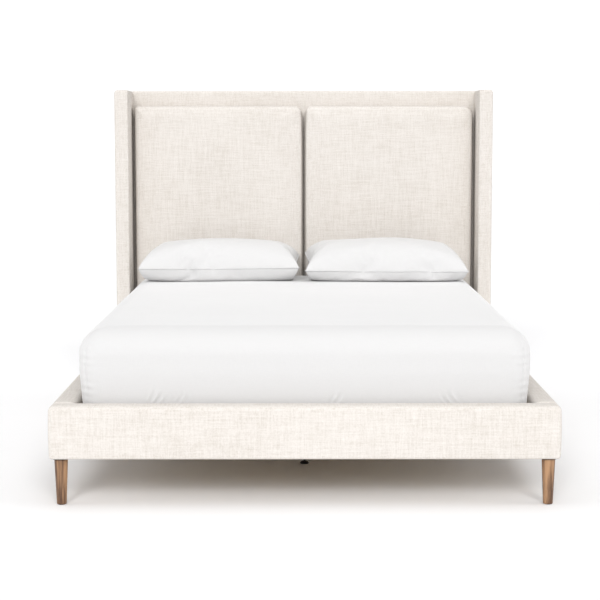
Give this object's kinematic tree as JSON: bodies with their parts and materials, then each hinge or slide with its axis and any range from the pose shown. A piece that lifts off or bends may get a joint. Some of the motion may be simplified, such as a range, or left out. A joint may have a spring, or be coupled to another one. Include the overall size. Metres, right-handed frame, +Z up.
{
  "type": "upholstered headboard bed",
  "caption": "Padded bed with a winged headboard, twin headboard pads, soft rails, slatted base, turned legs, mattress, fitted sheet and pillows.",
  "frame": {"origin": "on the floor, at the centre of the bed's box", "axes": "+Z up, -Y towards the foot of the bed, +Y towards the headboard, +X to the right seen from the foot"},
  "size_m": [1.72, 2.29, 1.44],
  "materials": {
    "linen": "oatmeal linen-look weave with slubs, matt",
    "sheet_cotton": "plain white cotton sheeting, matt",
    "pillow_cotton": "plain white cotton pillowcase, matt",
    "quilted_ticking": "pale quilted mattress ticking, matt",
    "leg_wood": "mid-brown stained hardwood, satin",
    "pine": "planed softwood, unfinished",
    "slat_wood": "planed birch slats, unfinished",
    "plywood": "plywood, unfinished",
    "zinc": "zinc-plated steel",
    "black_steel": "black powder coat, satin",
    "nylon": "black moulded nylon"
  },
  "bodies": {
    "bed_frame": {"headboard_top_rail": "pine", "headboard_middle_rail": "pine", "headboard_bottom_rail": "pine", "headboard_post_left": "pine", "headboard_post_right": "pine", "headboard_panel": "plywood", "pad_board_left": "plywood", "pad_board_right": "plywood", "wing_board_left": "plywood", "wing_board_right": "plywood", "headboard_cover": "linen", "headboard_back_cover": "linen", "pad_left": "linen", "pad_right": "linen", "wing_cover_left": "linen", "wing_cover_right": "linen", "foot_rail_core": "pine", "side_rail_left_core": "pine", "side_rail_right_core": "pine", "foot_rail_cover": "linen", "side_rail_left_cover": "linen", "side_rail_right_cover": "linen", "corner_bracket_left": "zinc", "corner_bracket_right": "zinc", "head_bracket_left": "zinc", "head_bracket_right": "zinc", "beam_hanger_foot": "zinc", "beam_hanger_head": "zinc", "slat_ledger_left": "pine", "slat_ledger_right": "pine", "centre_beam": "pine", "slat_1": "slat_wood", "slat_2": "slat_wood", "slat_3": "slat_wood", "slat_4": "slat_wood", "slat_5": "slat_wood", "slat_6": "slat_wood", "slat_7": "slat_wood", "slat_8": "slat_wood", "slat_9": "slat_wood", "slat_10": "slat_wood", "slat_11": "slat_wood", "slat_12": "slat_wood", "support_leg_foot": "black_steel", "support_leg_head": "black_steel", "leg_front_left": "leg_wood", "leg_front_right": "leg_wood", "leg_rear_left": "leg_wood", "leg_rear_right": "leg_wood", "leg_plate_front_left": "black_steel", "leg_plate_front_right": "black_steel", "leg_plate_rear_left": "black_steel", "leg_plate_rear_right": "black_steel"},
    "mattress": {"mattress": "quilted_ticking", "fitted_sheet": "sheet_cotton"},
    "pillow_left": {"pillow_left": "pillow_cotton"},
    "pillow_right": {"pillow_right": "pillow_cotton"},
    "leveller_foot": {"leveller_foot": "nylon"},
    "leveller_head": {"leveller_head": "nylon"}
  },
  "joints": [
    {"name": "mattress_lift", "type": "slide", "parent": "bed_frame", "child": "mattress", "axis": [0, 0, 1], "range_m": [0, 0.35]},
    {"name": "pillow_left_lift", "type": "slide", "parent": "mattress", "child": "pillow_left", "axis": [0, 0, 1], "range_m": [0, 0.3]},
    {"name": "pillow_right_lift", "type": "slide", "parent": "mattress", "child": "pillow_right", "axis": [0, 0, 1], "range_m": [0, 0.3]},
    {"name": "leveller_foot_screw", "type": "slide", "parent": "bed_frame", "child": "leveller_foot", "axis": [0, 0, 1], "range_m": [0, 0.015]},
    {"name": "leveller_head_screw", "type": "slide", "parent": "bed_frame", "child": "leveller_head", "axis": [0, 0, 1], "range_m": [0, 0.015]}
  ]
}
